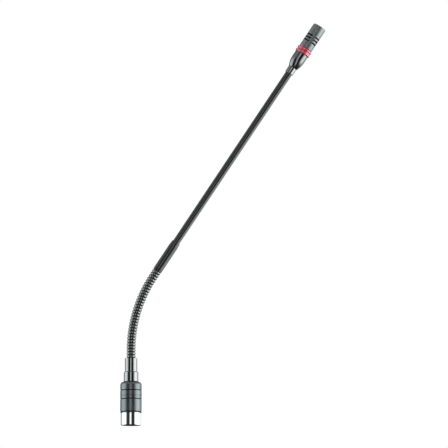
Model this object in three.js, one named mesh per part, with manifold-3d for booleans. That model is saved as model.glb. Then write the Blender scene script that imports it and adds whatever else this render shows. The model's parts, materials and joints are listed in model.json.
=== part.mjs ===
// A gooseneck podium microphone: a round plug-in connector, a short bendable neck of ribbed
// links, a straight rigid tube and a slotted head with a glowing ring at its base.
// Millimetres, +Z up. The origin is on the plug's axis, where the plug body meets the socket.
// At rest the neck bends towards +X, and everything above it leans that way.

import * as THREE from "three";
import { mergeVertices } from "three/addons/utils/BufferGeometryUtils.js";
import Module from "manifold-3d";

const wasm = await Module();
wasm.setup();

// ---------------------------------------------------------------- driving dimensions

const GAP = 0.3; // left between pieces that touch on the real thing
const LEAN = THREE.MathUtils.degToRad(33.4); // how far the tube leans over at rest

// The chrome nose. Its bore narrows at the step to the seat that grips the insert.
const SHELL = { r: 9.5, bore: 8.4, step: -1.0, seat: 8.0, stem: 8.5, mouth: -11.6, top: 12.0 };
const LATCH_HOLE = { width: 4.6, height: 3.6, z: -6.4 };
const INSERT = { r: 7.7, face: 2.6, top: 9.0 };
const PIN = { count: 5, r: 0.95, circle: 5.0, tip: -10.0, top: 11.2, step: 60 };
const BOARD = { r: 7.4, z: 12.6, thick: 1.4 };

const BODY = { r: 10.1, bore: 8.8, height: 29.4, shoulder: 3.2, roof: 23.6, neck: 4.9 };
const GROOVE = { depth: 0.55, width: 0.8, levels: [0.95, 13.1, 21.3] };
const SET_SCREW = { r: 1.2, z: 5.6, from: 8.05, to: 9.8, socket: 0.6 };

const LOWER_COLLAR = { r: 6.9, height: 8.9, stem: 4.6, stemEnd: 18.7, bore: 2.4, cup: 4.3 };
const UPPER_COLLAR = { r: 5.85, height: 12.9, stem: 4.0, stemLength: 4.6, bore: 2.0, cup: 3.3 };
const LOCK_NUT = { across: 12.4, z: 20.1, height: 3.2, bore: 4.9 };
const GROMMET = { r: 4.4, bore: 1.8, height: 1.7 };

const RIB = { count: 31, pitch: 2.835, r: 4.3, valley: 3.65, crest: 1.0, slope: 0.35 };
const LINK = { count: 9, ribs: 3, bore: 2.0, relief: 0.43, shoulder: 0.77 };
const END_RIBS = 2; // ribs below the first hinge, and above the last
const NECK_STEM = { r: 3.0, length: 5.0 };
const NECK_STRAIGHT = 8.0; // upright length before the curve begins
const NECK_RADIUS = 126.8; // radius of the curve at rest
const LEAD = { r: 1.4, sides: 8, steps: 18, overrun: 3.0 };

const FERRULE = { r: 4.4, ring: 1.4, body: 26.2, taper: 4.8, end: 3.95, bore: 3.72 };
const BUSH = { r: 3.4, bore: 1.75, from: 5.3 };
const TUBE = { r: 3.4, bore: 2.6, visible: 195.1, belowTaper: 9.0, intoHead: 18.8 };

const SLEEVE = { r: 4.15, bore: 3.72, height: 6.3 };
const HEAD_BASE = { r: 6.6, foot: 4.35, rise: 9.2, height: 15.8, bore: 3.72, cup: 5.5, cupDepth: 6.0 };
const HEAD_NUT = { across: 9.4, height: 2.0, bore: 3.72 };
const LIGHT_RING = { r: 7.45, edge: 7.0, valley: 6.85, bore: 5.8, height: 5.5 };
const LED_BOARD = { r: 5.2, hole: 1.8, thick: 1.2, below: 0.9 };
const LED = { count: 4, size: 1.6, height: 0.9, circle: 4.0 };
const HOUSING = { r: 6.6, bore: 5.75, height: 25.4, corner: 0.7 };
const SLOT = { groups: 4, levels: [7.5, 10.55, 13.6], height: 1.45, sweep: 62, first: -36 };
const LINER = { r: 5.45, bore: 5.2, from: 5.0, to: 16.0 };
const CAPSULE_BOARD = { r: 4.5, z: 14.6, thick: 1.2 };
const CAPSULE = { r: 4.65, z: 16.6, height: 5.4 };
const BOOT = { r: 5.4, bore: 4.95, z: 16.3, height: 5.2 };
const FOAM_DISC = { r: 5.4, z: 22.4, height: 1.2 };
const GRILLE = { r: 5.45, z: 24.2, thick: 0.7, hole: 0.85, circle: 3.4, holes: 6 };

// ---------------------------------------------------------------- materials

const finish = (color, roughness, metalness, more = {}) =>
  new THREE.MeshStandardMaterial({ color, roughness, metalness, ...more });

const CHROME = finish(0xd8d9dc, 0.08, 1.0);
const GREY_METAL = finish(0x6f7472, 0.38, 0.9);
const BLACK_METAL = finish(0x17181a, 0.25, 0.6);
const BLACK_SATIN = finish(0x1d1e20, 0.42, 0.5);
const DARK_HOUSING = finish(0x3a3d3f, 0.45, 0.6);
const BLACK_PLASTIC = finish(0x121212, 0.5, 0.0);
const RUBBER = finish(0x161616, 0.85, 0.0);
const GOLD = finish(0xc9a24b, 0.2, 1.0);
const STEEL = finish(0x9a9da0, 0.3, 1.0);
const BRASS = finish(0xb08d4a, 0.35, 1.0);
const BOARD_GREEN = finish(0x1f5a3a, 0.5, 0.0);
const RED_LENS = finish(0xd0123a, 0.2, 0.0, { transparent: true, opacity: 0.85 });
const FOAM = finish(0x202020, 0.95, 0.0);

// ---------------------------------------------------------------- shape helpers

// A three.js geometry as a solid that can be joined and cut.
function solid(geometry) {
  const bare = geometry.clone();
  bare.deleteAttribute("normal");
  bare.deleteAttribute("uv");
  const merged = mergeVertices(bare, 1e-4);
  return new wasm.Manifold(
    new wasm.Mesh({
      numProp: 3,
      vertProperties: new Float32Array(merged.attributes.position.array),
      triVerts: new Uint32Array(merged.index.array),
    }),
  );
}

// A named mesh from a solid.
function piece(name, shape, material) {
  const { vertProperties, triVerts } = shape.getMesh();
  const geometry = new THREE.BufferGeometry();
  geometry.setAttribute("position", new THREE.BufferAttribute(vertProperties, 3));
  geometry.setIndex(new THREE.BufferAttribute(triVerts, 1));
  geometry.computeVertexNormals();
  const mesh = new THREE.Mesh(geometry, material);
  mesh.name = name;
  return mesh;
}

// A solid turned about Z from a profile of [radius, height] points that closes on itself.
function turned(profile, segments = 32) {
  const points = profile.map(([r, z]) => new THREE.Vector2(r, z));
  if (THREE.ShapeUtils.area(points) < 0) points.reverse();
  if (points[0].x > 0 || points.at(-1).x > 0) points.push(points[0].clone());
  return solid(new THREE.LatheGeometry(points, segments).rotateX(Math.PI / 2));
}

// The profile of a plain ring or washer.
const band = (inner, outer, low, high) => [
  [inner, low],
  [outer, low],
  [outer, high],
  [inner, high],
];

// A plain round bar.
const bar = (r, low, high, segments = 32) =>
  turned([[0, low], [r, low], [r, high], [0, high]], segments);

function box(x, y, z, at) {
  return solid(new THREE.BoxGeometry(x, y, z).translate(...at));
}

// A sector of a ring about Z, for cutting slots; angles in degrees.
function sector(inner, outer, start, sweep, low, height, steps = 4) {
  const [a, b] = [start, start + sweep].map(THREE.MathUtils.degToRad);
  const outline = new THREE.Shape();
  outline.absarc(0, 0, outer, a, b, false);
  outline.absarc(0, 0, inner, b, a, true);
  outline.closePath();
  const settings = { depth: height, bevelEnabled: false, curveSegments: steps };
  return solid(new THREE.ExtrudeGeometry(outline, settings).translate(0, 0, low));
}

// Points of a quarter-round from one direction to another, for a profile.
function arc(r, z, radius, from, to, steps) {
  return Array.from({ length: steps + 1 }, (_, i) => {
    const a = THREE.MathUtils.degToRad(from + ((to - from) * i) / steps);
    return [r + radius * Math.cos(a), z + radius * Math.sin(a)];
  });
}

// ---------------------------------------------------------------- the neck's centreline

const NECK_START = BODY.height + LOWER_COLLAR.height + UPPER_COLLAR.height + 3 * GAP;
const NECK_LENGTH = RIB.count * RIB.pitch;

// The point and the lean of the centreline at a distance along the neck.
function neckAt(s) {
  const curve = NECK_RADIUS * LEAN;
  const turn = THREE.MathUtils.clamp((s - NECK_STRAIGHT) / curve, 0, 1) * LEAN;
  const x = NECK_RADIUS * (1 - Math.cos(turn));
  const z = Math.min(s, NECK_STRAIGHT) + NECK_RADIUS * Math.sin(turn);
  const beyond = Math.max(0, s - NECK_STRAIGHT - curve);
  return {
    x: x + beyond * Math.sin(turn),
    z: NECK_START + z + beyond * Math.cos(turn),
    lean: turn,
  };
}

// ---------------------------------------------------------------- plug

// A hole through the back of the plug's walls for the set screw.
function screwHole() {
  const r = SET_SCREW.r + GAP;
  const [from, to] = [SHELL.seat - 0.6, BODY.r + 1];
  const middle = (from + to) / 2;
  return solid(new THREE.CylinderGeometry(r, r, to - from, 16).translate(0, middle, SET_SCREW.z));
}

function makeShell() {
  const latchHole = box(LATCH_HOLE.width, SHELL.r, LATCH_HOLE.height, [0, SHELL.r, LATCH_HOLE.z]);
  const shell = turned(
    [
      [SHELL.bore, SHELL.mouth],
      [SHELL.r - 0.3, SHELL.mouth],
      [SHELL.r, SHELL.mouth + 0.3],
      [SHELL.r, -GAP],
      [SHELL.stem, -GAP],
      [SHELL.stem, SHELL.top],
      [SHELL.seat, SHELL.top],
      [SHELL.seat, SHELL.step],
      [SHELL.bore, SHELL.step],
    ],
    40,
  );
  return piece("plug_shell", shell.subtract(latchHole).subtract(screwHole()), CHROME);
}

// The contact pins stand on a circle, with the place of one more left empty at the back.
function pinPlaces() {
  return Array.from({ length: PIN.count }, (_, i) => {
    const a = THREE.MathUtils.degToRad(-90 + (i - (PIN.count - 1) / 2) * PIN.step);
    return [PIN.circle * Math.cos(a), PIN.circle * Math.sin(a), 0];
  });
}

function makeInsert() {
  const holes = pinPlaces().map((at) =>
    bar(PIN.r + GAP, INSERT.face - 1, INSERT.top + 1, 12).translate(...at),
  );
  const insert = holes.reduce((rest, hole) => rest.subtract(hole), bar(INSERT.r, INSERT.face, INSERT.top));
  return piece("plug_insert", insert, BLACK_PLASTIC);
}

function makePins() {
  const { r, tip, top } = PIN;
  const profile = [[0, tip], [r - 0.4, tip], [r, tip + 0.7], [r, top], [0, top]];
  return pinPlaces().map((at, i) => {
    const pin = piece(`contact_pin_${i + 1}`, turned(profile, 14), GOLD);
    pin.position.set(...at);
    return pin;
  });
}

function makeBody() {
  const grooves = GROOVE.levels.flatMap((z) => [
    [BODY.r, z - GROOVE.width / 2],
    [BODY.r - GROOVE.depth, z - GROOVE.width / 2],
    [BODY.r - GROOVE.depth, z + GROOVE.width / 2],
    [BODY.r, z + GROOVE.width / 2],
  ]);
  const round = BODY.shoulder;
  const body = turned(
    [
      [BODY.bore, 0],
      [BODY.r - 0.2, 0],
      [BODY.r, 0.2],
      ...grooves,
      ...arc(BODY.r - round, BODY.height - round, round, 0, 90, 6),
      [BODY.neck, BODY.height],
      [BODY.neck, BODY.roof],
      [BODY.bore, BODY.roof],
    ],
    32,
  );
  return piece("plug_body", body.subtract(screwHole()), GREY_METAL);
}

function makeSetScrew() {
  const { r, z, from, to, socket } = SET_SCREW;
  const middle = (from + to) / 2;
  const shank = solid(new THREE.CylinderGeometry(r, r, to - from, 16).translate(0, middle, z));
  const hexagon = solid(new THREE.CylinderGeometry(socket, socket, 1.6, 6).translate(0, to, z));
  return piece("set_screw", shank.subtract(hexagon), STEEL);
}

function makePlugBoard() {
  const top = BOARD.z + BOARD.thick;
  return [
    piece("plug_board", bar(BOARD.r, BOARD.z, top, 28), BOARD_GREEN),
    piece("preamp_chip", box(3.2, 4.2, 1.2, [4.2, 0, top + GAP + 0.6]), BLACK_PLASTIC),
  ];
}

// A six-sided nut with a round hole.
function nut(across, low, height, bore) {
  const outside = turned(band(0, across / 2 / Math.cos(Math.PI / 6), low, low + height), 6);
  return outside.subtract(bar(bore, low - 1, low + height + 1, 28));
}

// ---------------------------------------------------------------- collars

function makeCollars() {
  const lowerBase = BODY.height + GAP;
  const lowerTop = lowerBase + LOWER_COLLAR.height;
  const upperBase = lowerTop + GAP;
  const upperTop = upperBase + UPPER_COLLAR.height;
  const cupFloor = upperBase - UPPER_COLLAR.stemLength - GAP;
  const lower = turned([
    [LOWER_COLLAR.bore, LOWER_COLLAR.stemEnd],
    [LOWER_COLLAR.stem, LOWER_COLLAR.stemEnd],
    [LOWER_COLLAR.stem, lowerBase],
    [LOWER_COLLAR.r - 0.2, lowerBase],
    [LOWER_COLLAR.r, lowerBase + 0.2],
    [LOWER_COLLAR.r, lowerTop - 0.4],
    [LOWER_COLLAR.r - 0.4, lowerTop],
    [LOWER_COLLAR.cup, lowerTop],
    [LOWER_COLLAR.cup, cupFloor],
    [LOWER_COLLAR.bore, cupFloor],
  ]);
  const upper = turned([
    [UPPER_COLLAR.bore, upperBase - UPPER_COLLAR.stemLength],
    [UPPER_COLLAR.stem, upperBase - UPPER_COLLAR.stemLength],
    [UPPER_COLLAR.stem, upperBase],
    [UPPER_COLLAR.r - 0.2, upperBase],
    [UPPER_COLLAR.r, upperBase + 0.2],
    [UPPER_COLLAR.r, upperTop - 0.4],
    [UPPER_COLLAR.r - 0.4, upperTop],
    [UPPER_COLLAR.cup, upperTop],
    [UPPER_COLLAR.cup, upperTop - NECK_STEM.length - 2 * GAP],
    [UPPER_COLLAR.bore, upperTop - NECK_STEM.length - 2 * GAP],
  ]);
  const gripTop = LOWER_COLLAR.stemEnd - GAP;
  const grommet = band(GROMMET.bore, GROMMET.r, gripTop - GROMMET.height, gripTop);
  return [
    piece("lower_collar", lower, BLACK_METAL),
    piece("upper_collar", upper, BLACK_METAL),
    piece("collar_nut", nut(LOCK_NUT.across, LOCK_NUT.z, LOCK_NUT.height, LOCK_NUT.bore), BRASS),
    piece("lead_grommet", turned(grommet, 24), RUBBER),
  ];
}

// ---------------------------------------------------------------- neck

// The outside of a run of ribs, from its foot to its top. An end that meets a hinge is coned
// back, so that it clears its neighbour when the neck bends.
function ribOutline(ribs, hingeBelow, hingeAbove) {
  const half = RIB.crest / 2;
  const length = ribs * RIB.pitch;
  const outline = Array.from({ length: ribs }, (_, i) => (i + 0.5) * RIB.pitch).flatMap((z) => [
    [RIB.valley, z - half - RIB.slope],
    [RIB.r, z - half],
    [RIB.r, z + half],
    [RIB.valley, z + half + RIB.slope],
  ]);
  if (hingeBelow) outline.splice(0, 1, [LINK.bore, LINK.relief], [RIB.valley, LINK.shoulder]);
  if (hingeAbove)
    outline.splice(-1, 1, [RIB.valley, length - LINK.shoulder], [LINK.bore, length - LINK.relief]);
  return outline;
}

const RIB_SIDES = 16;

function makeNeckRoot() {
  const outline = ribOutline(END_RIBS, false, true);
  const profile = [
    [LINK.bore, -NECK_STEM.length],
    [NECK_STEM.r, -NECK_STEM.length],
    [NECK_STEM.r, 0],
    [RIB.valley, 0],
    ...outline,
  ];
  const root = piece("neck_root", turned(profile, RIB_SIDES), BLACK_METAL);
  root.position.z = NECK_START;
  return root;
}

const hingePlace = (k) => neckAt((END_RIBS + k * LINK.ribs) * RIB.pitch);

function makeNeckLinks() {
  return Array.from({ length: LINK.count }, (_, i) => {
    const [foot, top] = [hingePlace(i), hingePlace(i + 1)];
    const profile = ribOutline(LINK.ribs, true, true);
    const name = `neck_link_${String(i + 1).padStart(2, "0")}`;
    const link = piece(name, turned(profile, RIB_SIDES), BLACK_METAL);
    link.position.set(foot.x, 0, foot.z);
    link.rotation.y = Math.atan2(top.x - foot.x, top.z - foot.z);
    return link;
  });
}

// The signal lead where it runs through the bending neck.
function makeNeckLead() {
  class NeckPath extends THREE.Curve {
    getPoint(t) {
      const from = -LEAD.overrun;
      const { x, z } = neckAt(from + t * (NECK_LENGTH + LEAD.overrun - from));
      return new THREE.Vector3(x, 0, z);
    }
  }
  const section = new THREE.Shape();
  section.absarc(0, 0, LEAD.r, 0, 2 * Math.PI, false);
  const settings = {
    steps: LEAD.steps,
    curveSegments: LEAD.sides / 2,
    extrudePath: new NeckPath(),
    bevelEnabled: false,
  };
  return piece("neck_lead", solid(new THREE.ExtrudeGeometry(section, settings)), RUBBER);
}

// ---------------------------------------------------------------- ferrule and tube

// From here on, heights are measured from the neck's top end along the leaning axis.
const FERRULE_TOP = FERRULE.ring + 2 * GAP + FERRULE.body + FERRULE.taper;
const TUBE_FOOT = FERRULE_TOP - TUBE.belowTaper;
const HEAD_FOOT = FERRULE_TOP + TUBE.visible;

function makeNeckTip() {
  const length = END_RIBS * RIB.pitch;
  const profile = [
    ...ribOutline(END_RIBS, true, false),
    [RIB.valley, length],
    [NECK_STEM.r, length],
    [NECK_STEM.r, length + NECK_STEM.length],
    [LINK.bore, length + NECK_STEM.length],
  ];
  const tip = piece("neck_tip", turned(profile, RIB_SIDES), BLACK_METAL);
  tip.position.z = -length;
  return tip;
}

function makeFerrule() {
  const ringTop = GAP + FERRULE.ring;
  const foot = ringTop + GAP;
  const ring = band(NECK_STEM.r + GAP, FERRULE.r, GAP, ringTop);
  const ferrule = [
    [FERRULE.bore, foot],
    [FERRULE.r - 0.15, foot],
    [FERRULE.r, foot + 0.15],
    [FERRULE.r, FERRULE_TOP - FERRULE.taper],
    [FERRULE.end, FERRULE_TOP],
    [FERRULE.bore, FERRULE_TOP],
  ];
  const bush = band(BUSH.bore, BUSH.r, BUSH.from, TUBE_FOOT - GAP);
  return [
    piece("ferrule_ring", turned(ring, 28), BLACK_SATIN),
    piece("mid_ferrule", turned(ferrule, 28), BLACK_SATIN),
    piece("ferrule_bush", turned(bush, 24), BRASS),
  ];
}

function makeTube() {
  const profile = band(TUBE.bore, TUBE.r, TUBE_FOOT, HEAD_FOOT + TUBE.intoHead);
  return piece("upper_tube", turned(profile, 28), BLACK_SATIN);
}

// ---------------------------------------------------------------- head

const HEAD_BASE_FOOT = HEAD_FOOT + SLEEVE.height + GAP;
const HEAD_BASE_TOP = HEAD_BASE_FOOT + HEAD_BASE.height;
const RING_FOOT = HEAD_BASE_TOP + GAP;
const HOUSING_FOOT = RING_FOOT + LIGHT_RING.height + GAP;

function makeSleeve() {
  const edge = 0.25;
  return turned(
    [
      [SLEEVE.bore, HEAD_FOOT],
      [SLEEVE.r - edge, HEAD_FOOT],
      [SLEEVE.r, HEAD_FOOT + edge],
      [SLEEVE.r, HEAD_FOOT + SLEEVE.height],
      [SLEEVE.bore, HEAD_FOOT + SLEEVE.height],
    ],
    28,
  );
}

// The rounded base of the head, with a cup in its top for the nut.
function makeHeadBase() {
  const { r, foot, rise, bore, cup, cupDepth } = HEAD_BASE;
  const dome = Array.from({ length: 9 }, (_, i) => [
    r - (r - foot) * (1 - i / 8) ** 2,
    HEAD_BASE_FOOT + (rise * i) / 8,
  ]);
  return turned([
    [bore, HEAD_BASE_FOOT],
    ...dome,
    [r, HEAD_BASE_TOP],
    [cup, HEAD_BASE_TOP],
    [cup, HEAD_BASE_TOP - cupDepth],
    [bore, HEAD_BASE_TOP - cupDepth],
  ]);
}

function makeLightRing() {
  const { r, edge, valley, bore, height } = LIGHT_RING;
  const half = [
    [edge, 0],
    [r, 0.4],
    [r, 1.75],
    [valley, 2.25],
  ];
  const upperHalf = half.map(([x, z]) => [x, height - z]).reverse();
  const profile = [[bore, 0], ...half, ...upperHalf, [bore, height]];
  return turned(profile.map(([x, z]) => [x, RING_FOOT + z]));
}

function makeLedBoard() {
  const low = RING_FOOT - LED_BOARD.below;
  const top = low + LED_BOARD.thick;
  const board = turned(band(LED_BOARD.hole, LED_BOARD.r, low, top), 24);
  const leds = Array.from({ length: LED.count }, (_, i) => {
    const led = piece(`led_${i + 1}`, box(LED.size, LED.size, LED.height, [LED.circle, 0, 0]), RED_LENS);
    led.position.z = top + GAP + LED.height / 2;
    led.rotation.z = ((i + 0.5) * 2 * Math.PI) / LED.count;
    return led;
  });
  return [piece("led_board", board, BOARD_GREEN), ...leds];
}

function makeHousing() {
  const { r, bore, height, corner } = HOUSING;
  const tube = turned([
    [bore, 0],
    [r - 0.15, 0],
    [r, 0.15],
    ...arc(r - corner, height - corner, corner, 0, 90, 4),
    [bore, height],
  ]);
  const cuts = Array.from({ length: SLOT.groups }, (_, g) => {
    const start = SLOT.first - SLOT.sweep / 2 + (g * 360) / SLOT.groups;
    return SLOT.levels.map((z) =>
      sector(bore - 1, r + 1, start, SLOT.sweep, z - SLOT.height / 2, SLOT.height),
    );
  }).flat();
  const slotted = cuts.reduce((rest, cut) => rest.subtract(cut), tube);
  return piece("head_housing", slotted, DARK_HOUSING);
}

function makeGrille() {
  const { r, z, thick, hole, circle, holes } = GRILLE;
  const places = Array.from({ length: holes }, (_, i) => (i * 2 * Math.PI) / holes)
    .map((a) => [circle * Math.cos(a), circle * Math.sin(a)]);
  const disc = [[0, 0], ...places].reduce(
    (rest, [x, y]) => rest.subtract(bar(hole, z - 1, z + thick + 1, 10).translate(x, y, 0)),
    bar(r, z, z + thick, 24),
  );
  return piece("front_grille", disc, BLACK_SATIN);
}

// What stands in the housing, measured from the housing's foot.
function makeCapsuleGroup() {
  const group = new THREE.Group();
  group.position.z = HOUSING_FOOT;
  const disc = ({ r, z, thick }) => bar(r, z, z + thick, 24);
  const liner = band(LINER.bore, LINER.r, LINER.from, LINER.to);
  const boot = band(BOOT.bore, BOOT.r, BOOT.z, BOOT.z + BOOT.height);
  group.add(
    makeHousing(),
    piece("slot_screen", turned(liner, 28), STEEL),
    piece("capsule_board", disc(CAPSULE_BOARD), BOARD_GREEN),
    piece("capsule", bar(CAPSULE.r, CAPSULE.z, CAPSULE.z + CAPSULE.height, 28), STEEL),
    piece("capsule_boot", turned(boot, 24), RUBBER),
    piece("foam_disc", bar(FOAM_DISC.r, FOAM_DISC.z, FOAM_DISC.z + FOAM_DISC.height, 24), FOAM),
    makeGrille(),
  );
  return group;
}

// ---------------------------------------------------------------- leads in the rigid parts

function makeBaseLead() {
  const foot = BOARD.z + BOARD.thick + GAP;
  return piece("base_lead", bar(LEAD.r, foot, NECK_START - LEAD.overrun - GAP, 12), RUBBER);
}

function makeHeadLead() {
  const top = HOUSING_FOOT + CAPSULE_BOARD.z - GAP;
  return piece("head_lead", bar(LEAD.r, LEAD.overrun + GAP, top, 12), RUBBER);
}

// ---------------------------------------------------------------- the whole microphone

function makeUpperAssembly() {
  const end = neckAt(NECK_LENGTH);
  const group = new THREE.Group();
  group.position.set(end.x, 0, end.z);
  group.rotation.y = end.lean;
  const headNut = nut(HEAD_NUT.across, HEAD_BASE_TOP - HEAD_BASE.cupDepth + GAP, HEAD_NUT.height, HEAD_NUT.bore);
  group.add(
    makeNeckTip(),
    ...makeFerrule(),
    makeTube(),
    makeHeadLead(),
    piece("neck_sleeve", makeSleeve(), BLACK_SATIN),
    piece("head_base", makeHeadBase(), BLACK_METAL),
    piece("head_nut", headNut, BRASS),
    piece("light_ring", makeLightRing(), RED_LENS),
    ...makeLedBoard(),
    makeCapsuleGroup(),
  );
  return group;
}

const microphone = new THREE.Group();
microphone.add(
  makeShell(),
  makeInsert(),
  ...makePins(),
  makeBody(),
  makeSetScrew(),
  ...makePlugBoard(),
  ...makeCollars(),
  makeBaseLead(),
  makeNeckRoot(),
  ...makeNeckLinks(),
  makeNeckLead(),
  makeUpperAssembly(),
);

export default microphone;
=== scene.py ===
"""Looks for a gooseneck podium microphone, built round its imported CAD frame.

Every visible metal piece is turned or swept again as a fine mesh in the place of its CAD node.
The bending neck is one run of ribs, cut at the middle of each link and blended over each hinge.
"""

import json
import math

import bmesh
import bpy
from mathutils import Matrix, Vector


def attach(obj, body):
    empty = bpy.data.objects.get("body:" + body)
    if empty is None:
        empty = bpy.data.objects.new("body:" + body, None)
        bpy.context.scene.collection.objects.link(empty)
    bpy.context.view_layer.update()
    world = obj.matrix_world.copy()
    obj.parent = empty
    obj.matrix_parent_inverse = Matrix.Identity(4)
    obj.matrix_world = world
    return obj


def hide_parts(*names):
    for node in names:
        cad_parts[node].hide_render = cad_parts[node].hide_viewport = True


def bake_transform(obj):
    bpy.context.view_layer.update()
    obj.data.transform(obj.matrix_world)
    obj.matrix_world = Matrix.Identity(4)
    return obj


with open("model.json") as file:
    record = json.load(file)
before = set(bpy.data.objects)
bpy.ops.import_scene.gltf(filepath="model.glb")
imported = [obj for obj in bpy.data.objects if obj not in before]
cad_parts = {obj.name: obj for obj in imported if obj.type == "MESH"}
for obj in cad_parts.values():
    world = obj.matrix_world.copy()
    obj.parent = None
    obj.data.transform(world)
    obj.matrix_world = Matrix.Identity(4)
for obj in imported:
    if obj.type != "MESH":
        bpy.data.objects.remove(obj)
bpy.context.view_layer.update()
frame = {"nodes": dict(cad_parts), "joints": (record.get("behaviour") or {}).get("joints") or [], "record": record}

MM = 0.001
AROUND = 128  # steps round a turned piece

# ---------------------------------------------------------------- dimensions, in millimetres

GAP = 0.3
SHELL = dict(r=9.5, bore=8.4, step=-1.0, seat=8.0, stem=8.5, mouth=-11.6, top=12.0)
LATCH = dict(width=4.6, height=3.6, z=-6.4)
INSERT = dict(r=7.7, face=2.6, top=9.0, dish=0.35, dish_r=3.2)
PIN = dict(count=5, r=0.95, circle=5.0, tip=-10.0, top=11.2, step=60)
BODY = dict(r=10.1, bore=8.8, height=29.4, shoulder=3.2, roof=23.6, neck=4.9)
GROOVE = dict(depth=0.5, width=0.8, levels=(0.95, 13.1, 21.3))
HAIRLINE = (16.4, 0.12, 0.3)  # height, depth and width of one finer line
SCREW = dict(r=1.2, z=5.6)
LOWER = dict(r=6.9, height=8.9)
UPPER = dict(r=5.85, height=12.9)
COLLAR_BORE = 4.5
INNER = 3.3  # radius of the neck's stems, inside the upper collar and the end ring
UPPER_CUP = dict(r=4.45, depth=1.0)  # the upper collar's top, which the neck stands in

# half is the share of the pitch from a rib's crest to its foot, and dip the depth between ribs
RIB = dict(count=31, pitch=2.835, r=4.3, valley=3.65, half=0.40, dip=0.55)
LINK_RIBS, END_RIBS = 3, 2
STRAIGHT, RADIUS = 8.0, 126.8

FERRULE = dict(r=4.4, ring=1.4, body=26.2, taper=4.8, end=3.95, bore=3.72)
TUBE = dict(r=3.4, bore=2.6, visible=195.1, foot=9.0, head=18.8)
SLEEVE = dict(r=4.15, bore=3.72, height=6.3)
HEAD_BASE = dict(r=6.6, foot=4.35, rise=9.2, height=15.8, bore=3.72, cup=5.5, cup_depth=6.0)
RING = dict(r=7.45, edge=7.0, valley=6.85, bore=5.8, height=5.5)
HOUSING = dict(r=6.6, bore=5.75, height=25.4, corner=0.73)
SLOT = dict(groups=4, levels=(7.5, 10.55, 13.6), height=1.45, sweep=62, first=-36)
SCREEN = dict(r=5.45, bore=5.2, low=5.0, high=16.0)
WEAVE = dict(hoops=30, uprights=84, thick=0.06)
GRILLE = dict(r=5.45, bore=4.9, z=24.2, thick=0.7, weave=5.0, pitch=0.42, wire=0.09, level=0.36)

# ---------------------------------------------------------------- the neck's line, from the frame

hinges = [Vector(j["pos_m"]) for j in frame["joints"]]
sway_axis = frame["joints"][-1]["axis"]
LEAN = math.atan2(-sway_axis[2], sway_axis[0])
NECK_START = hinges[0].z / MM - END_RIBS * RIB["pitch"]
NECK_LENGTH = RIB["count"] * RIB["pitch"]


def neck_at(s):
    """(x, z, lean) of the neck's centreline at s millimetres along it."""
    curve = RADIUS * LEAN
    turn = min(max((s - STRAIGHT) / curve, 0), 1) * LEAN
    beyond = max(0, s - STRAIGHT - curve)
    x = RADIUS * (1 - math.cos(turn)) + beyond * math.sin(turn)
    z = min(s, STRAIGHT) + RADIUS * math.sin(turn) + beyond * math.cos(turn)
    return x, NECK_START + z, turn


def neck_frame(s):
    """The matrix, in metres, that stands a piece on the centreline at s, along it."""
    x, z, turn = neck_at(s)
    return Matrix.Translation((x * MM, 0, z * MM)) @ Matrix.Rotation(turn, 4, "Y")


UPRIGHT = Matrix.Identity(4)
LEANING = neck_frame(NECK_LENGTH)  # heights are measured from the neck's top end

FERRULE_TOP = FERRULE["ring"] + 2 * GAP + FERRULE["body"] + FERRULE["taper"]
HEAD_FOOT = FERRULE_TOP + TUBE["visible"]
BASE_FOOT = HEAD_FOOT + SLEEVE["height"] + GAP
BASE_TOP = BASE_FOOT + HEAD_BASE["height"]
RING_FOOT = BASE_TOP + GAP
HOUSING_FOOT = RING_FOOT + RING["height"] + GAP

# ---------------------------------------------------------------- camera

PHOTO_SIZE = 448
LENS, SENSOR = 300.0, 36.0
VIEW_TARGET = Vector((0.0878, 0, 0.1800))
VIEW_ELEVATION = math.radians(-8.0)
MM_PER_PIXEL = 0.95


def make_camera():
    data = bpy.data.cameras.new("camera")
    data.lens = LENS
    data.sensor_width = SENSOR
    data.clip_end = 100
    distance = LENS / SENSOR * PHOTO_SIZE * MM_PER_PIXEL * MM
    back = Vector((0, -math.cos(VIEW_ELEVATION), math.sin(VIEW_ELEVATION)))
    camera = bpy.data.objects.new("camera", data)
    camera.location = VIEW_TARGET + back * distance
    camera.rotation_euler = (-back).to_track_quat("-Z", "Y").to_euler()
    bpy.context.scene.collection.objects.link(camera)
    bpy.context.scene.camera = camera


# ---------------------------------------------------------------- studio

FLOOR_Z = -2.6

CARD, LEFT_BOX, RIGHT_BOX = (0.97, 1.0, 0.98), (0.93, 1.0, 1.02), (0.96, 1.0, 0.99)
# What stands round the horizon: (degrees round from the camera, to its right; brightness; tint)
HORIZON = [
    (-180, 0.10, CARD), (-142, 0.10, CARD), (-126, 1.1, LEFT_BOX), (-104, 2.2, LEFT_BOX),
    (-74, 2.1, LEFT_BOX), (-58, 1.3, LEFT_BOX), (-47, 0.06, CARD), (-14, 0.03, CARD),
    (-11, 1.2, CARD), (5, 1.2, CARD), (9, 0.03, CARD), (40, 0.04, CARD), (50, 1.6, RIGHT_BOX),
    (68, 2.7, RIGHT_BOX), (84, 3.4, RIGHT_BOX), (100, 2.9, RIGHT_BOX), (118, 1.6, RIGHT_BOX),
    (150, 1.0, RIGHT_BOX), (180, 0.2, CARD),
]
# Overhead and underneath: (slope where it starts, slope where it is full; brightness)
CEILING, UNDERSIDE = (0.30, 0.72, 0.50), (-0.38, -0.78, 0.06)


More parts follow.
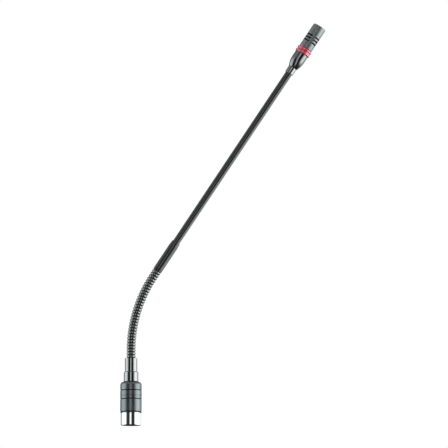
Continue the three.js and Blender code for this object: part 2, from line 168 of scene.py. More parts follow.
def make_world():
    """A white studio. Soft boxes stand at the left and the right, with dark cards in front of
    and behind the object, and a thin strip light in the middle of the front card."""
    world = bpy.data.worlds.new("studio")
    world.use_nodes = True
    bpy.context.scene.world = world
    tree = world.node_tree
    nodes, links = tree.nodes, tree.links
    nodes.clear()
    coord = nodes.new("ShaderNodeTexCoord")
    split = nodes.new("ShaderNodeSeparateXYZ")
    links.new(coord.outputs["Generated"], split.inputs[0])
    front = math_node(tree, "MULTIPLY", split.outputs["Y"], -1.0)
    angle = math_node(tree, "ARCTAN2", split.outputs["X"], front)
    place = math_node(tree, "ADD", math_node(tree, "DIVIDE", angle, 2 * math.pi), 0.5)
    peak = max(brightness for _, brightness, _ in HORIZON)
    ring = nodes.new("ShaderNodeValToRGB")
    ring.color_ramp.interpolation = "EASE"
    elements = ring.color_ramp.elements
    elements.remove(elements[-1])
    for i, (degrees, brightness, tint) in enumerate(HORIZON):
        element = elements[0] if i == 0 else elements.new(degrees / 360 + 0.5)
        element.position = degrees / 360 + 0.5
        element.color = (*(brightness / peak * c for c in tint), 1)
    links.new(place, ring.inputs["Fac"])
    color = ring.outputs["Color"]
    for low, high, brightness in (CEILING, UNDERSIDE):
        edge = nodes.new("ShaderNodeMapRange")
        edge.interpolation_type = "SMOOTHSTEP"
        edge.inputs["From Min"].default_value = low
        edge.inputs["From Max"].default_value = high
        links.new(split.outputs["Z"], edge.inputs["Value"])
        blend = nodes.new("ShaderNodeMix")
        blend.data_type = "RGBA"
        links.new(edge.outputs["Result"], blend.inputs["Factor"])
        links.new(color, blend.inputs["A"])
        blend.inputs["B"].default_value = (brightness / peak,) * 3 + (1,)
        color = blend.outputs["Result"]
    lit = nodes.new("ShaderNodeBackground")
    links.new(color, lit.inputs["Color"])
    lit.inputs["Strength"].default_value = peak
    plain = nodes.new("ShaderNodeBackground")
    plain.inputs["Color"].default_value = (1, 1, 1, 1)
    path = nodes.new("ShaderNodeLightPath")
    mix = nodes.new("ShaderNodeMixShader")
    links.new(path.outputs["Is Camera Ray"], mix.inputs["Fac"])
    links.new(lit.outputs[0], mix.inputs[1])
    links.new(plain.outputs[0], mix.inputs[2])
    out = nodes.new("ShaderNodeOutputWorld")
    links.new(mix.outputs[0], out.inputs["Surface"])


def math_node(tree, operation, a, b):
    node = tree.nodes.new("ShaderNodeMath")
    node.operation = operation
    for socket, value in zip(node.inputs, (a, b)):
        if isinstance(value, (int, float)):
            socket.default_value = value
        else:
            tree.links.new(value, socket)
    return node.outputs[0]


def make_floor():
    bpy.ops.mesh.primitive_plane_add(size=60, location=(0, 0, FLOOR_Z))
    floor = bpy.context.object
    floor.name = "floor"
    floor.visible_glossy = False  # metal mirrors the studio's walls, which go on below the floor
    paint = Paint("floor_paper", (0.9, 0.9, 0.9), 0.9)
    paint.vary_roughness(40, 0.85, 0.95)
    floor.data.materials.append(paint.material)


# ---------------------------------------------------------------- materials


NOISE_ROUGHNESS = 0.55


class Paint:
    """A Principled material in the making, in object coordinates."""

    def __init__(self, name, color, roughness, metallic=0.0, axis=None, **constants):
        self.material = bpy.data.materials.new(name)
        self.material.use_nodes = True
        self.tree = self.material.node_tree
        self.nodes, self.links = self.tree.nodes, self.tree.links
        self.shader = self.nodes["Principled BSDF"]
        self.color, self.roughness = color, roughness
        self.shader.inputs["Base Color"].default_value = (*color, 1)
        self.shader.inputs["Roughness"].default_value = roughness
        self.shader.inputs["Metallic"].default_value = metallic
        for socket, value in constants.items():
            self.shader.inputs[socket.replace("_", " ")].default_value = value
        self.place = self.nodes.new("ShaderNodeTexCoord").outputs["Object"]
        if axis:
            self.place = self.seen_from(axis)

    def seen_from(self, axis):
        """The position measured in another frame, for a mesh that holds its place itself."""
        back = axis.inverted()
        mapping = self.nodes.new("ShaderNodeMapping")
        mapping.inputs["Location"].default_value = back.translation
        mapping.inputs["Rotation"].default_value = back.to_euler()
        self.links.new(self.place, mapping.inputs["Vector"])
        return mapping.outputs[0]

    def height(self):
        """The distance along the piece's own Z axis, in millimetres."""
        split = self.nodes.new("ShaderNodeSeparateXYZ")
        self.links.new(self.place, split.inputs[0])
        return math_node(self.tree, "DIVIDE", split.outputs["Z"], MM)

    def paint_shade_in_cuts(self, depth, low, high, color=(0.01, 0.01, 0.01)):
        """Paints shade into cuts: darkens the colour wherever the surface is nearer the axis than depth, between
        two heights.
        """
        # the near-black colour below is painted shade for grooves, bores and slot walls
        cut = self.between(self.radius(), 1, 0, depth - 0.05, depth + 0.05)
        above = self.between(self.height(), 0, 1, low - 0.05, low + 0.05)
        below = self.between(self.height(), 1, 0, high - 0.05, high + 0.05)
        factor = math_node(self.tree, "MULTIPLY", cut, math_node(self.tree, "MULTIPLY", above, below))
        mix = self.nodes.new("ShaderNodeMix")
        mix.data_type = "RGBA"
        mix.inputs["B"].default_value = (*color, 1)
        self.links.new(factor, mix.inputs["Factor"])
        self.links.new(self.shader.inputs["Base Color"].links[0].from_socket, mix.inputs["A"])
        self.links.new(mix.outputs["Result"], self.shader.inputs["Base Color"])

    def noise(self, scale, stretch=(1, 1, 1), detail=4.0):
        """Noise with scale features to the metre, drawn out along an axis by a small stretch."""
        mapping = self.nodes.new("ShaderNodeMapping")
        mapping.inputs["Scale"].default_value = stretch
        self.links.new(self.place, mapping.inputs["Vector"])
        noise = self.nodes.new("ShaderNodeTexNoise")
        noise.inputs["Scale"].default_value = scale
        noise.inputs["Detail"].default_value = detail
        noise.inputs["Roughness"].default_value = NOISE_ROUGHNESS
        self.links.new(mapping.outputs[0], noise.inputs["Vector"])
        return noise.outputs["Fac"]

    def radius(self):
        """The distance from the piece's own Z axis, in millimetres."""
        flat = self.nodes.new("ShaderNodeMapping")
        flat.inputs["Scale"].default_value = (1 / MM, 1 / MM, 0)
        self.links.new(self.place, flat.inputs["Vector"])
        length = self.nodes.new("ShaderNodeVectorMath")
        length.operation = "LENGTH"
        self.links.new(flat.outputs[0], length.inputs[0])
        return length.outputs["Value"]

    def between(self, value, low, high, start=0.3, end=0.7):
        node = self.nodes.new("ShaderNodeMapRange")
        limits = {"From Min": start, "From Max": end, "To Min": low, "To Max": high}
        for name, number in limits.items():
            node.inputs[name].default_value = number
        self.links.new(value, node.inputs["Value"])
        return node.outputs["Result"]

    def vary_roughness(self, scale, low, high, stretch=(1, 1, 1), detail=4.0):
        self.links.new(
            self.between(self.noise(scale, stretch, detail), low, high), self.shader.inputs["Roughness"]
        )

    def vary_color(self, scale, other, stretch=(1, 1, 1), start=0.35, end=0.75):
        mix = self.nodes.new("ShaderNodeMix")
        mix.data_type = "RGBA"
        mix.inputs["A"].default_value = (*self.color, 1)
        mix.inputs["B"].default_value = (*other, 1)
        factor = self.between(self.noise(scale, stretch), 0, 1, start, end)
        self.links.new(factor, mix.inputs["Factor"])
        self.links.new(mix.outputs["Result"], self.shader.inputs["Base Color"])
        return mix

    def bumps(self, *layers):
        """Each layer is (height output, strength, depth in millimetres)."""
        normal = None
        for height, strength, depth in layers:
            bump = self.nodes.new("ShaderNodeBump")
            bump.inputs["Strength"].default_value = strength
            bump.inputs["Distance"].default_value = depth * MM
            self.links.new(height, bump.inputs["Height"])
            if normal:
                self.links.new(normal, bump.inputs["Normal"])
            normal = bump.outputs["Normal"]
        self.links.new(normal, self.shader.inputs["Normal"])


RING_LINES = (0.02, 0.02, 1.0)  # draws noise out round a turned piece into fine lathe lines


def chrome():
    """Mirror chrome outside. The bore, at a smaller radius, is painted near-black as painted shade inside the
    shell.
    """
    # dark is painted shade for the bore, blended in by radius below
    bright, dark = (0.80, 0.81, 0.83), (0.012, 0.012, 0.012)
    p = Paint("polished_chrome", bright, 0.06, 1.0)
    outside = p.between(p.radius(), 0, 1, SHELL["bore"] + 0.05, SHELL["bore"] + 0.1)
    mix = p.nodes.new("ShaderNodeMix")
    mix.data_type = "RGBA"
    mix.inputs["A"].default_value = (*dark, 1)
    mix.inputs["B"].default_value = (*bright, 1)
    p.links.new(outside, mix.inputs["Factor"])
    p.links.new(mix.outputs["Result"], p.shader.inputs["Base Color"])
    p.vary_roughness(700, 0.04, 0.08)
    p.bumps((p.noise(4000, RING_LINES, 2), 0.015, 0.01))
    return p.material


def grey_metal():
    p = Paint("satin_grey_metal", (0.162, 0.180, 0.184), 0.3, 1.0,
              Specular_Tint=(0.55, 0.58, 0.58, 1))
    p.vary_color(500, (0.178, 0.196, 0.200))
    # painted shade: the grooves, the bore and the screw hole below the shoulder are darkened in colour
    p.paint_shade_in_cuts(BODY["r"] - 0.1, 0, BODY["height"] - BODY["shoulder"])
    p.vary_roughness(1200, 0.29, 0.33, RING_LINES)
    p.bumps((p.noise(2500, RING_LINES, 2), 0.015, 0.01))
    return p.material


def black_chrome(name, tone, low, high):
    p = Paint(name, (tone, tone * 1.03, tone * 1.03), 0.1, 1.0, Specular_Tint=(0.6, 0.6, 0.6, 1))
    p.vary_color(900, (tone * 1.12, tone * 1.15, tone * 1.15))
    p.vary_roughness(1500, low, high)
    p.bumps((p.noise(4000, RING_LINES, 2), 0.02, 0.01))
    return p.material


def black_satin():
    p = Paint("black_satin_lacquer", (0.012, 0.012, 0.013), 0.2, 0.0, Coat_Weight=0.6,
              Coat_Roughness=0.10, Specular_IOR_Level=0.5)
    p.vary_color(800, (0.02, 0.02, 0.021))
    p.vary_roughness(2500, 0.16, 0.26)
    p.bumps((p.noise(14000, detail=1), 0.05, 0.01))
    return p.material


def dark_housing():
    p = Paint("anodised_housing", (0.225, 0.245, 0.245), 0.42, 1.0, axis=LEANING)
    p.vary_color(700, (0.240, 0.260, 0.260))
    # painted shade: the slot walls and the bore, inside the outer face, are darkened almost to black
    p.paint_shade_in_cuts(HOUSING["r"] - 0.12, HOUSING_FOOT + 1, HOUSING_FOOT + HOUSING["height"] - 1,
             (0.004, 0.004, 0.004))
    p.vary_roughness(1800, 0.40, 0.44)
    p.bumps((p.noise(5000, detail=2), 0.02, 0.01))
    return p.material


def red_lens():
    """Clear red plastic with light behind it. The glow is made strongest where the ring stands out and none in the
    groove, so it is partly the ring's own light and partly a painted highlight on the raised ribs.
    """
    p = Paint("red_lens", (0.42, 0.003, 0.03), 0.12, 0.0, Coat_Weight=1.0, Coat_Roughness=0.06,
              Coat_IOR=2.0, Emission_Color=(1.0, 0.04, 0.16, 1))
    p.vary_color(600, (0.48, 0.005, 0.045))
    # emission by radius: the lens's own glow, plus a painted highlight on the raised ribs
    glow_and_painted_highlight = p.between(p.radius(), 0.0, 0.24, RING["valley"], RING["r"])
    p.links.new(glow_and_painted_highlight, p.shader.inputs["Emission Strength"])
    p.vary_roughness(1500, 0.10, 0.18)
    p.bumps((p.noise(3000, detail=1), 0.02, 0.01))
    return p.material


def plastic(name, color, low, high, grain=20000):
    p = Paint(name, color, (low + high) / 2)
    p.vary_color(900, tuple(c * 1.5 for c in color))
    p.vary_roughness(3000, low, high)
    p.bumps((p.noise(grain, detail=2), 0.2, 0.02))
    return p.material


def bare_metal(name, color, low, high):
    p = Paint(name, color, (low + high) / 2, 1.0)
    p.vary_color(800, tuple(c * 0.85 for c in color))
    p.vary_roughness(3500, low, high, (0.1, 0.1, 1))
    p.bumps((p.noise(9000, RING_LINES, 2), 0.12, 0.01))
    return p.material


def make_materials():
    return {
        "chrome": chrome(),
        "grey_metal": grey_metal(),
        "black_metal": black_chrome("black_chrome_collar", 0.27, 0.06, 0.11),
        "neck_metal": black_chrome("black_chrome_neck", 0.2, 0.10, 0.15),
        "head_gloss": black_chrome("black_gloss_head", 0.20, 0.12, 0.18),
        "black_satin": black_satin(),
        "dark_housing": dark_housing(),
        "black_plastic": plastic("black_moulded_plastic", (0.02, 0.02, 0.02), 0.4, 0.55),
        "rubber": plastic("black_rubber", (0.018, 0.018, 0.018), 0.7, 0.85),
        "gold": bare_metal("gold_plate", (0.80, 0.58, 0.25), 0.12, 0.25),
        "steel": bare_metal("turned_steel", (0.55, 0.56, 0.57), 0.2, 0.35),
        "screen": plastic("blackened_wire", (0.012, 0.012, 0.012), 0.5, 0.65),
        "capsule_metal": bare_metal("capsule_case", (0.62, 0.63, 0.65), 0.25, 0.4),
        "brass": bare_metal("turned_brass", (0.69, 0.52, 0.26), 0.2, 0.35),
        "board": plastic("board_lacquer", (0.02, 0.12, 0.05), 0.25, 0.4, 6000),
        "led": plastic("led_resin", (0.8, 0.12, 0.1), 0.15, 0.25, 6000),
        "red_lens": red_lens(),
        "foam": plastic("black_foam", (0.025, 0.025, 0.025), 0.9, 1.0, 5000),
    }


# ---------------------------------------------------------------- mesh helpers


def add_object(name, mesh, matrix, material):
    mesh.materials.append(material)
    obj = bpy.data.objects.new(name, mesh)
    obj.matrix_world = matrix
    bpy.context.scene.collection.objects.link(obj)
    return obj


def fillet(profile, closed=True, steps=4):
    """The profile, [(r, z) or (r, z, radius)], with its corners rounded, as plain points."""
    count = len(profile)
    points = []
    for i, corner in enumerate(profile):
        here = Vector(corner[:2])
        radius = corner[2] if len(corner) > 2 else 0.0
        if radius <= 0 or (not closed and i in (0, count - 1)):
            points.append(here)
            continue
        before = Vector(profile[i - 1][:2]) - here
        after = Vector(profile[(i + 1) % count][:2]) - here
        angle = before.angle(after)
        reach = min(radius / math.tan(angle / 2), 0.45 * before.length, 0.45 * after.length)
        a, b = here + before.normalized() * reach, here + after.normalized() * reach
        for k in range(steps + 1):
            t = k / steps
            points.append(a * (1 - t) ** 2 + here * 2 * t * (1 - t) + b * t * t)
    return points


def with_support(points, closed=True, near=0.06):
    """Points just inside each end of the long straights, which keep smooth shading flat there."""
    result = []
    count = len(points)
    for i, p in enumerate(points):
        result.append(p)
        if not closed and i == count - 1:
            break
        q = points[(i + 1) % count]
        step = q - p
        if step.length > 4 * near:
            unit = step.normalized() * near
            result += [p + unit, q - unit]
    return result


def lathe(points, around=AROUND, closed=True):
    """A mesh turned about Z from (r, z) points in millimetres; r of 0 makes a pole."""
    bm = bmesh.new()
    rows = []
    for r, z in points:
        if r < 1e-6:
            rows.append([bm.verts.new((0, 0, z * MM))])
            continue
        rows.append([
            bm.verts.new((r * math.cos(a) * MM, r * math.sin(a) * MM, z * MM))
            for a in (2 * math.pi * k / around for k in range(around))
        ])
    pairs = list(zip(rows, rows[1:] + rows[:1])) if closed else list(zip(rows, rows[1:]))
    for low, high in pairs:
        for k in range(around):
            n = (k + 1) % around
            corners = [low[k % len(low)], low[n % len(low)], high[n % len(high)], high[k % len(high)]]
            corners = list(dict.fromkeys(corners))
            if len(corners) > 2:
                bm.faces.new(corners)
    return finish_mesh(bm)


def finish_mesh(bm):
    bmesh.ops.recalc_face_normals(bm, faces=bm.faces)
    for face in bm.faces:
        face.smooth = True
    mesh = bpy.data.meshes.new("mesh")
    bm.to_mesh(mesh)
    bm.free()
    return mesh


def turned(name, profile, matrix, slot, closed=True, around=AROUND, paint=None):
    """A turned piece from a profile of (r, z, corner radius)."""
    points = with_support(fillet(profile, closed), closed)
    mesh = lathe([tuple(p) for p in points], around, closed)
    return add_object(name, mesh, matrix, paint or materials[slot])


def stand_for(obj, body, *nodes):
    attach(obj, body)
    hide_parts(*nodes)
    return obj


# ---------------------------------------------------------------- walls with windows


CLEAR = 1.2  # degrees kept free of other columns on each side of a window's own


def windowed_wall(low, high, outer, inner, windows, corner, name, matrix, slot, rim=0.2, steps=96):
    """A round wall with rounded windows cut through it. windows holds (start, sweep, low, high)
    in degrees and millimetres; outer and inner give the wall's radii at a height."""
    edge = math.degrees(corner / outer((low + high) / 2))
    marks = set()
    levels = {low, high, low + rim, high - rim, low + rim / 2, high - rim / 2}
    blocked = []
    for start, sweep, z0, z1 in windows:
        a0, a1 = start % 360, (start + sweep) % 360
        marks |= {round(a % 360, 4) for a in (a0, a0 + edge, a1 - edge, a1)}
        levels |= {z0, z0 + corner, z1 - corner, z1}
        blocked.append((a0, sweep, z0, z1))
    columns = {round(360 * k / steps, 4) for k in range(steps)}
    apart = {t for t in columns if all(turn_between(t, a) > CLEAR for a in marks)}
    turns, levels = sorted(marks | apart), sorted(levels)
    bm = bmesh.new()
    sheets = []
    for radius in (outer, inner):
        vertices = {}

        def vertex(t, z, radius=radius, vertices=vertices):
            key = (round(t % 360, 4), round(z, 4))
            if key not in vertices:
                a = math.radians(t)
                r = radius(z) * MM
                vertices[key] = bm.verts.new((r * math.cos(a), r * math.sin(a), z * MM))
            return vertices[key]

        faces = []
        for i, t0 in enumerate(turns):
            t1 = turns[(i + 1) % len(turns)]
            if t1 <= t0:
                t1 += 360
            for z0, z1 in zip(levels, levels[1:]):
                outline = cell_outline(t0, t1, z0, z1, blocked, edge, corner)
                if outline:
                    faces.append(bm.faces.new([vertex(t, z) for t, z in outline]))
        sheets.append((vertices, faces))
    (outside, faces), (inside, _) = sheets
    bridge(bm, outside, inside, faces)
    return add_object(name, finish_mesh(bm), matrix, materials[slot])


def turn_between(a, b):
    """The smaller turn from one direction to another, in degrees."""
    return min(abs(a - b), 360 - abs(a - b))


def cell_outline(t0, t1, z0, z1, blocked, edge, corner):
    """The part of a cell of the wall that is solid, as (degrees, height) points."""
    tm, zm = (t0 + t1) / 2, (z0 + z1) / 2
    for start, sweep, low, high in blocked:
        along = (tm - start) % 360
        if along > sweep or not low < zm < high:
            continue
        left, right = along < edge, along > sweep - edge
        bottom, top = zm < low + corner, zm > high - corner
        if not ((left or right) and (bottom or top)):
            return None
        # the window's corner is filled outside a quarter round
        ct, ot = (t0, t1) if left else (t1, t0)
        cz, oz = (z0, z1) if bottom else (z1, z0)
        turns = [math.pi / 2 * k / 4 for k in range(5)]
        arc = [(ot + (ct - ot) * math.sin(a), oz + (cz - oz) * math.cos(a)) for a in turns]
        return [(ct, cz)] + arc
    return [(t0, z0), (t1, z0), (t1, z1), (t0, z1)]


def bridge(bm, outside, inside, faces):
    """Joins the open edges of two matching sheets into a closed wall."""
    twin = {outside[key]: inside[key] for key in outside}
    for face in faces:
        for loop in face.loops:
            if len(loop.edge.link_faces) == 1:
                a, b = loop.vert, loop.link_loop_next.vert
                bm.faces.new([b, a, twin[a], twin[b]])


def soften(obj, width, angle=35, segments=2):
    """Rounds the sharp edges of a piece a little."""
    bevel = obj.modifiers.new("edges", "BEVEL")
    bevel.width = width * MM
    bevel.segments = segments
    bevel.limit_method = "ANGLE"
    bevel.angle_limit = math.radians(angle)
    bevel.harden_normals = True
    return obj


def drill(obj, r, start, end, height):
    """Cuts a round hole through a wall at the back of a piece, along Y."""
    bpy.ops.mesh.primitive_cylinder_add(
        vertices=48, radius=r * MM, depth=(end - start) * MM, rotation=(math.pi / 2, 0, 0),
        location=(0, (start + end) / 2 * MM, height * MM))
    cutter = bpy.context.object
    cut = obj.modifiers.new("hole", "BOOLEAN")
    cut.operation, cut.object, cut.solver = "DIFFERENCE", cutter, "EXACT"
    shape = obj.evaluated_get(bpy.context.evaluated_depsgraph_get())
    mesh = bpy.data.meshes.new_from_object(shape)
    obj.modifiers.remove(cut)
    obj.data = mesh
    bpy.data.objects.remove(cutter)


# ---------------------------------------------------------------- plug


def make_shell():
    r, bore, seat, stem = SHELL["r"], SHELL["bore"], SHELL["seat"], SHELL["stem"]
    mouth, top, lip = SHELL["mouth"], SHELL["top"], 0.35
    half = math.degrees(LATCH["width"] / 2 / r)
    low, high = LATCH["z"] - LATCH["height"] / 2, LATCH["z"] + LATCH["height"] / 2

    def outer(z):
        if z < mouth + lip:
            return r - lip + math.sqrt(max(0, lip**2 - (mouth + lip - z) ** 2))
        return r if z < -GAP + 0.01 else stem

    def inner(z):
        return bore if z < SHELL["step"] else seat

    latch_hole = (90 - half, 2 * half, low, high)
    shell = windowed_wall(mouth, -GAP, outer, inner, [latch_hole], 0.5,
                          "chrome_shell", UPRIGHT, "chrome", rim=lip)
    soften(shell, 0.12)
    stand_for(shell, "plug", "plug_shell")
    foot = -GAP + 0.02
    profile = [(seat, foot), (stem, foot), (stem, top), (seat, top)]
    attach(turned("shell_stem", profile, UPRIGHT, "chrome"), "plug")


def pin_places():
    for i in range(PIN["count"]):
        a = math.radians(-90 + (i - (PIN["count"] - 1) / 2) * PIN["step"])
        yield PIN["circle"] * math.cos(a), PIN["circle"] * math.sin(a)


def make_pins():
    r, tip, top = PIN["r"], PIN["tip"], PIN["top"]
    profile = [(0, tip), (r, tip, 0.75), (r, top, 0.1), (0, top)]
    for i, (x, y) in enumerate(pin_places()):
        matrix = Matrix.Translation((x * MM, y * MM, 0))
        pin = turned(f"gold_pin_{i + 1}", profile, matrix, "gold", closed=False, around=32)
        stand_for(pin, "plug", f"contact_pin_{i + 1}")


def make_insert():
    r, face, top = INSERT["r"], INSERT["face"], INSERT["top"]
    floor = face + INSERT["dish"]
    block = [(0, floor), (INSERT["dish_r"], floor), (INSERT["dish_r"] + 0.3, face), (r, face, 0.3),
             (r, top, 0.2), (0, top)]
    insert = turned("pin_block", block, UPRIGHT, "black_plastic", closed=False, around=96)
    stand_for(insert, "plug", "plug_insert")
    inner, outer = PIN["r"] + 0.05, PIN["r"] + 0.45
    seat = [(inner, face - 0.25), (outer, face - 0.25, 0.12), (outer, face + 0.1),
            (inner, face + 0.1)]
    for i, (x, y) in enumerate(pin_places()):
        matrix = Matrix.Translation((x * MM, y * MM, 0))
        collar = turned(f"pin_seat_{i + 1}", seat, matrix, "black_plastic", around=40)
        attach(collar, "plug")


def make_body():
    r, height, shoulder = BODY["r"], BODY["height"], BODY["shoulder"]
    depth, width = GROOVE["depth"], GROOVE["width"]
    grooves = []
    cuts = [(z, depth, width) for z in GROOVE["levels"]] + [HAIRLINE]
    for z, deep, wide in sorted(cuts):
        grooves += [(r, z - wide / 2, 0.12), (r - deep, z - wide / 2, 0.15),
                    (r - deep, z + wide / 2, 0.15), (r, z + wide / 2, 0.12)]
    steps = 16
    arc = [
        (r - shoulder + shoulder * math.cos(math.pi / 2 * k / steps),
         height - shoulder + shoulder * math.sin(math.pi / 2 * k / steps))
        for k in range(steps + 1)
    ]
    profile = [(BODY["bore"], 0, 0.1), (r, 0, 0.22), *grooves, *arc, (BODY["neck"], height),
               (BODY["neck"], BODY["roof"]), (BODY["bore"], BODY["roof"])]
    body = turned("grey_sleeve", profile, UPRIGHT, "grey_metal", around=160)
    drill(body, SCREW["r"] + GAP, SHELL["stem"], BODY["r"] + 1, SCREW["z"])
    stand_for(body, "plug", "plug_body")


def make_collars():
    foot = BODY["height"] + GAP
    top, r = foot + LOWER["height"], LOWER["r"]
    profile = [(COLLAR_BORE, foot), (r, foot, 0.25), (r, top, 0.45), (COLLAR_BORE, top)]
    lower = turned("collar_wide", profile, UPRIGHT, "black_metal")
    stand_for(lower, "plug", "lower_collar")
    foot = top + GAP
    top, r, cup = foot + UPPER["height"], UPPER["r"], UPPER_CUP["r"]
    floor = top - UPPER_CUP["depth"]
    profile = [(INNER, foot), (r, foot, 0.25), (r, top, 0.45), (cup, top, 0.2), (cup, floor),
               (INNER, floor)]
    upper = turned("collar_slim", profile, UPRIGHT, "black_metal")
    stand_for(upper, "plug", "upper_collar")


# ---------------------------------------------------------------- neck

RIB_SHAPE_STEPS = 16


def rib_radius(s):
    """The neck's outer radius at s: round ribs with a narrow gap between them."""
    phase = abs((s / RIB["pitch"]) % 1.0 - 0.5)
    half = RIB["half"]
    if phase >= half:
        dip = math.sin(math.pi * (phase - half) / (1 - 2 * half))
        return RIB["valley"] - RIB["dip"] * dip
    swell = math.sqrt(1 - (phase / half) ** 2)
    return RIB["valley"] + (RIB["r"] - RIB["valley"]) * swell


def neck_mesh(start, end, around=72):
    """The ribbed neck from start to end along its centreline, closed at both ends."""
    bm = bmesh.new()
    steps = max(2, round((end - start) / RIB["pitch"] * RIB_SHAPE_STEPS))
    rows = []
    for i in range(steps + 1):
        s = start + (end - start) * i / steps
        place = neck_frame(s)
        r = rib_radius(s) * MM
        rows.append([
            bm.verts.new(place @ Vector((r * math.cos(a), r * math.sin(a), 0)))
            for a in (2 * math.pi * k / around for k in range(around))
        ])
    for low, high in zip(rows, rows[1:]):
        for k in range(around):
            n = (k + 1) % around
            bm.faces.new([low[k], low[n], high[n], high[k]])
    for s, row in ((start, rows[0]), (end, rows[-1])):
        x, z, _ = neck_at(s)
        middle = bm.verts.new((x * MM, 0, z * MM))
        for k in range(around):
            face = bm.faces.new([row[k], row[(k + 1) % around], middle])
            face.tag = True
    bmesh.ops.recalc_face_normals(bm, faces=bm.faces)
    for face in bm.faces:
        face.smooth = not face.tag
    for edge in bm.edges:
        if len(edge.link_faces) == 2 and edge.link_faces[0].tag != edge.link_faces[1].tag:
            edge.smooth = False
    mesh = bpy.data.meshes.new("neck")
    bm.to_mesh(mesh)
    bm.free()
    return mesh


def make_neck():
    pitch = RIB["pitch"]
    replaced = ["neck_root"] + [f"neck_link_{i:02d}" for i in range(1, len(hinges))]
    for k in range(len(hinges)):
        hinge = (END_RIBS + k * LINK_RIBS) * pitch
        low, high = hinge - LINK_RIBS / 2 * pitch, hinge + LINK_RIBS / 2 * pitch
        start = 0 if k == 0 else low
        end = NECK_LENGTH if k == len(hinges) - 1 else high
        mesh = neck_mesh(start, end)
        name = f"ribbed_neck_{k + 1:02d}"
        obj = add_object(name, mesh, UPRIGHT, materials["neck_metal"])
        nodes = [replaced[k]]
        if k == 0:
            nodes.append("neck_lead")
        if k == len(hinges) - 1:
            nodes.append("neck_tip")
        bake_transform(obj)
        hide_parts(*nodes)


# ---------------------------------------------------------------- ferrule, tube and sleeve


def make_ferrule():
    r, bore, end = FERRULE["r"], FERRULE["bore"], FERRULE["end"]
    top = GAP + FERRULE["ring"]
    profile = [(INNER, GAP), (r, GAP, 0.2), (r, top, 0.2), (INNER, top)]
    ring = turned("neck_end_ring", profile, LEANING, "black_satin")
    stand_for(ring, "head", "ferrule_ring")
    foot = top + GAP
    shoulder = FERRULE_TOP - FERRULE["taper"]
    profile = [(bore, foot), (r, foot, 0.2), (r, shoulder, 1.2), (end, FERRULE_TOP, 0.15),
               (bore, FERRULE_TOP)]
    ferrule = turned("tapered_ferrule", profile, LEANING, "black_satin")
    stand_for(ferrule, "head", "mid_ferrule")


def make_tube():
    r, bore = TUBE["r"], TUBE["bore"]
    low, high = FERRULE_TOP - TUBE["foot"], HEAD_FOOT + TUBE["head"]
    profile = [(bore, low), (r, low), (r, high), (bore, high)]
    tube = turned("rigid_tube", profile, LEANING, "black_satin", around=96)
    stand_for(tube, "head", "upper_tube")


def make_sleeve():
    r, bore, top = SLEEVE["r"], SLEEVE["bore"], HEAD_FOOT + SLEEVE["height"]
    profile = [(bore, HEAD_FOOT), (r, HEAD_FOOT, 0.3), (r, top, 0.1), (bore, top)]
    sleeve = turned("head_sleeve", profile, LEANING, "black_metal")
    stand_for(sleeve, "head", "neck_sleeve")


# ---------------------------------------------------------------- head


def make_head_base():
    r, foot, rise = HEAD_BASE["r"], HEAD_BASE["foot"], HEAD_BASE["rise"]
    steps = 20
    dome = [
        (r - (r - foot) * (1 - k / steps) ** 2, BASE_FOOT + rise * k / steps)
        for k in range(1, steps + 1)
    ]
    floor = BASE_TOP - HEAD_BASE["cup_depth"]
    profile = [(HEAD_BASE["bore"], BASE_FOOT), (foot, BASE_FOOT, 0.15), *dome, (r, BASE_TOP, 0.15),
               (HEAD_BASE["cup"], BASE_TOP), (HEAD_BASE["cup"], floor), (HEAD_BASE["bore"], floor)]
    base = turned("head_cup", profile, LEANING, "black_metal", paint=materials["head_gloss"])
    stand_for(base, "head", "head_base")


def make_light_ring():
    r, edge, valley, height = RING["r"], RING["edge"], RING["valley"], RING["height"]
    half = [(edge, 0, 0.1), (r, 0.35, 0.5), (r, 1.85, 0.5), (valley, 2.3, 0.25)]
    upper = [(x, height - z, c) for x, z, c in reversed(half)]
    profile = [(RING["bore"], 0), *half, *upper, (RING["bore"], height)]
    profile = [(p[0], p[1] + RING_FOOT, *p[2:]) for p in profile]
    ring = turned("light_ring_lens", profile, LEANING, "red_lens", around=160)
    stand_for(ring, "head", "light_ring")


def make_housing():
    r, bore, height, corner = HOUSING["r"], HOUSING["bore"], HOUSING["height"], HOUSING["corner"]
    low, high = HOUSING_FOOT, HOUSING_FOOT + height

    def outer(z):
        from_tip, from_foot = high - z, z - low
        if from_tip < corner:
            return r - corner + math.sqrt(max(0, corner**2 - (corner - from_tip) ** 2))
        if from_foot < 0.15:
            return r - 0.15 + from_foot
        return r

    windows = [
        (SLOT["first"] - SLOT["sweep"] / 2 + g * 360 / SLOT["groups"], SLOT["sweep"],
         low + z - SLOT["height"] / 2, low + z + SLOT["height"] / 2)
        for g in range(SLOT["groups"]) for z in SLOT["levels"]
    ]
    housing = windowed_wall(low, high, outer, lambda z: bore, windows, 0.3, "slotted_housing", LEANING,
                            "dark_housing", rim=corner)
    housing.data.transform(LEANING)
    housing.matrix_world = UPRIGHT
    soften(housing, 0.08)
    stand_for(housing, "head", "head_housing")


def wire(bm, points, r, closed, sides=5):
    """A fine wire through the points, in millimetres."""
    count = len(points)
    rings = []
    for i, p in enumerate(points):
        before = points[i - 1] if closed or i else p
        after = points[(i + 1) % count] if closed or i < count - 1 else p
        along = (after - before).normalized()
        upright = abs(along.z) > 0.9
        side = along.orthogonal() if upright else along.cross(Vector((0, 0, 1)))
        side.normalize()
        up = side.cross(along)
        rings.append([
            bm.verts.new((p + (side * math.cos(a) + up * math.sin(a)) * r) * MM)
            for a in (2 * math.pi * k / sides for k in range(sides))
        ])
    pairs = list(zip(rings, rings[1:])) + ([(rings[-1], rings[0])] if closed else [])
    for low, high in pairs:
        for k in range(sides):
            n = (k + 1) % sides
            bm.faces.new([low[k], low[n], high[n], high[k]])
    if not closed:
        bm.faces.new(rings[0])
        bm.faces.new(list(reversed(rings[-1])))


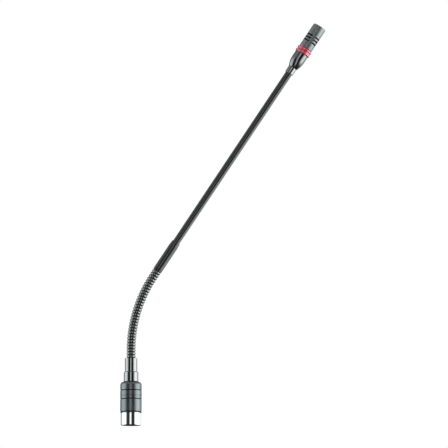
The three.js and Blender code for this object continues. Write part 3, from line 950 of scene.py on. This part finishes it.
def make_screen():
    """Woven wire behind the slots: hoops, and straight wires that pass over and under them."""
    bm = bmesh.new()
    hoops, uprights, thick = WEAVE["hoops"], WEAVE["uprights"], WEAVE["thick"]
    middle = (SCREEN["r"] + SCREEN["bore"]) / 2
    low, high = (HOUSING_FOOT + SCREEN["low"] + 0.3, HOUSING_FOOT + SCREEN["high"] - 0.3)
    levels = [low + (high - low) * i / (hoops - 1) for i in range(hoops)]
    angles = [2 * math.pi * k / uprights for k in range(uprights)]

    def crossing(i, k, side):
        """Where hoop i and upright k cross, on one side of the other wire."""
        r = middle + side * thick * 0.6 * (1 if (k + i) % 2 else -1)
        return Vector((r * math.cos(angles[k]), r * math.sin(angles[k]), levels[i]))

    for i in range(hoops):
        wire(bm, [crossing(i, k, 1) for k in range(uprights)], thick, True, 4)
    for k in range(uprights):
        wire(bm, [crossing(i, k, -1) for i in range(hoops)], thick, False, 4)
    screen = add_object("woven_screen", finish_mesh(bm), LEANING, materials["screen"])
    stand_for(screen, "head", "slot_screen")


def make_grille():
    """The open end: a rim, and a woven wire disc in it."""
    r, bore, low = GRILLE["r"], GRILLE["bore"], HOUSING_FOOT + GRILLE["z"]
    top = low + GRILLE["thick"]
    profile = [(bore, low), (r, low, 0.05), (r, top, 0.15), (bore, top, 0.1)]
    rim = turned("grille_rim", profile, LEANING, "black_satin")
    stand_for(rim, "head", "front_grille")
    bm = bmesh.new()
    radius, pitch, thick = GRILLE["weave"], GRILLE["pitch"], GRILLE["wire"]
    z = low + GRILLE["level"]
    count = int(radius / pitch)
    for direction in (0, 1):
        for i in range(-count, count + 1):
            across = i * pitch
            reach = math.sqrt(max(0, radius**2 - across**2))
            steps = max(1, int(reach / pitch))
            points = []
            for k in range(-steps, steps + 1):
                lift = thick * 0.7 * (1 if (i + k + direction) % 2 else -1)
                x, y = (k * pitch, across) if direction == 0 else (across, k * pitch)
                points.append(Vector((x, y, z + lift)))
            if len(points) > 2:
                wire(bm, points, thick, False)
    disc = add_object("grille_weave", finish_mesh(bm), LEANING, materials["screen"])
    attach(disc, "head")


# ---------------------------------------------------------------- everything

make_camera()
make_world()
materials = make_materials()
for entry in frame["record"]["subparts"]:
    node = frame["nodes"][entry["node"]]
    node.data.materials.clear()
    node.data.materials.append(materials[entry["material_slot"]])
make_floor()
make_shell()
make_insert()
make_pins()
make_body()
make_collars()
make_neck()
make_ferrule()
make_tube()
make_sleeve()
make_head_base()
make_light_ring()
make_housing()
make_screen()
make_grille()
bpy.context.scene.view_settings.view_transform = "Standard"
